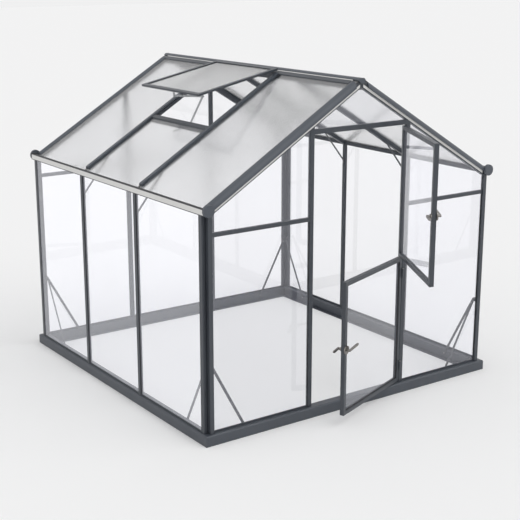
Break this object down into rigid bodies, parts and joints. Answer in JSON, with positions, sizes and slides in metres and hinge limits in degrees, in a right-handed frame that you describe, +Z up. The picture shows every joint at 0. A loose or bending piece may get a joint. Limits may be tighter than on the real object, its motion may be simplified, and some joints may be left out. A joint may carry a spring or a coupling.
{
  "type": "walk-in gabled greenhouse with stable door and roof vent",
  "caption": "Walk-in gabled greenhouse: dark metal frame, clear walls, frosted roof, two-leaf stable door and an opening roof vent.",
  "frame": {"origin": "on the ground, at the middle of the base frame's plan", "axes": "+Z up; +Y along the ridge, away from the door gable; +X to the right, seen from the door"},
  "size_m": [2.34, 3.0169, 2.1305],
  "materials": {
    "base": "anthracite powder coat, satin",
    "frame_paint": "anthracite powder coat, satin",
    "dark_plastic": "anthracite moulded plastic",
    "pale_trim": "off-white strip",
    "steel_parts": "dark zinc strip",
    "bolts": "zinc-plated",
    "roof_sheet": "translucent frosted twin-wall sheet",
    "vent_sheet": "translucent frosted sheet",
    "wall_glass": "clear sheet",
    "handle_metal": "satin metal, warm grey",
    "opener_metal": "plain aluminium",
    "seal_rubber": "black seal"
  },
  "bodies": {
    "frame": {"base_rail_front": "base", "base_rail_back": "base", "base_rail_left": "base", "base_rail_right": "base", "base_corner_brackets": "steel_parts", "glazing_sills": "frame_paint", "corner_posts": "frame_paint", "side_posts": "frame_paint", "back_posts": "frame_paint", "door_posts": "frame_paint", "door_header": "frame_paint", "gable_rails": "frame_paint", "eave_beams": "frame_paint", "gutter_trims": "pale_trim", "gutter_end_caps": "dark_plastic", "ridge_beam": "frame_paint", "ridge_cap": "dark_plastic", "ridge_seals": "pale_trim", "ridge_flashings": "frame_paint", "ridge_end_caps": "dark_plastic", "gable_rafters_front": "frame_paint", "gable_rafters_back": "frame_paint", "barge_caps_front": "dark_plastic", "barge_caps_back": "dark_plastic", "barge_trims": "pale_trim", "roof_rafters": "frame_paint", "rafter_caps": "dark_plastic", "vent_cross_bar": "frame_paint", "roof_sheets": "roof_sheet", "roof_sheet_below_vent": "roof_sheet", "side_panes": "wall_glass", "front_lower_panes": "wall_glass", "back_lower_panes": "wall_glass", "front_upper_panes": "wall_glass", "back_upper_panes": "wall_glass", "front_apex_pane": "wall_glass", "corner_braces": "steel_parts", "knee_braces": "steel_parts", "brace_bolts": "bolts", "post_hinges": "frame_paint", "hinge_pins": "bolts", "vent_hinge_brackets": "frame_paint", "opener_bar_bracket": "opener_metal"},
    "lower_door": {"lower_leaf_frame": "frame_paint", "lower_leaf_pane": "wall_glass", "lower_leaf_hinges": "frame_paint", "lower_roses": "handle_metal"},
    "upper_door": {"upper_leaf_frame": "frame_paint", "upper_leaf_pane": "wall_glass", "upper_leaf_hinges": "frame_paint", "upper_roses": "handle_metal", "meeting_seal": "seal_rubber"},
    "lower_handle": {"lower_lever": "handle_metal"},
    "upper_handle": {"upper_lever": "handle_metal"},
    "vent": {"vent_frame": "frame_paint", "vent_sheet": "vent_sheet", "vent_leaf_knuckles": "frame_paint", "opener_leaf_bracket": "opener_metal"},
    "opener_lower": {"opener_lower_arm": "opener_metal"},
    "opener_upper": {"opener_upper_arm": "opener_metal"}
  },
  "joints": [
    {"name": "lower_door_swing", "type": "hinge", "parent": "frame", "child": "lower_door", "pos_m": [0.3855, -1.1625, 0.51], "axis": [0, 0, 1], "range_deg": [-20.9, 129.1]},
    {"name": "upper_door_swing", "type": "hinge", "parent": "frame", "child": "upper_door", "pos_m": [0.3855, -1.1625, 1.38], "axis": [0, 0, 1], "range_deg": [-62.3, 87.7]},
    {"name": "lower_handle_turn", "type": "hinge", "parent": "lower_door", "child": "lower_handle", "pos_m": [-0.29367, -1.42185, 0.51], "axis": [-0.3567, 0.9342, 0], "range_deg": [0, 98]},
    {"name": "upper_handle_turn", "type": "hinge", "parent": "upper_door", "child": "upper_handle", "pos_m": [0.04756, -1.80618, 1.38], "axis": [-0.8854, 0.4648, 0], "range_deg": [0, 98]},
    {"name": "vent_swing", "type": "hinge", "parent": "frame", "child": "vent", "pos_m": [-0.04, 0.012, 2.1253], "axis": [0, 1, 0], "range_deg": [-19, 11]},
    {"name": "opener_lower_turn", "type": "hinge", "parent": "frame", "child": "opener_lower", "pos_m": [-0.52072, 0.012, 1.73376], "axis": [0, 1, 0], "range_deg": [-10.8, 18.7]},
    {"name": "opener_upper_turn", "type": "hinge", "parent": "vent", "child": "opener_upper", "pos_m": [-0.6355, 0.012, 1.95272], "axis": [0, 1, 0], "range_deg": [-18.7, 10.8]}
  ],
  "couplings": [
    {"joint": "opener_lower_turn", "follows": "vent_swing", "ratio": -0.98},
    {"joint": "opener_upper_turn", "follows": "vent_swing", "ratio": 0.98}
  ]
}
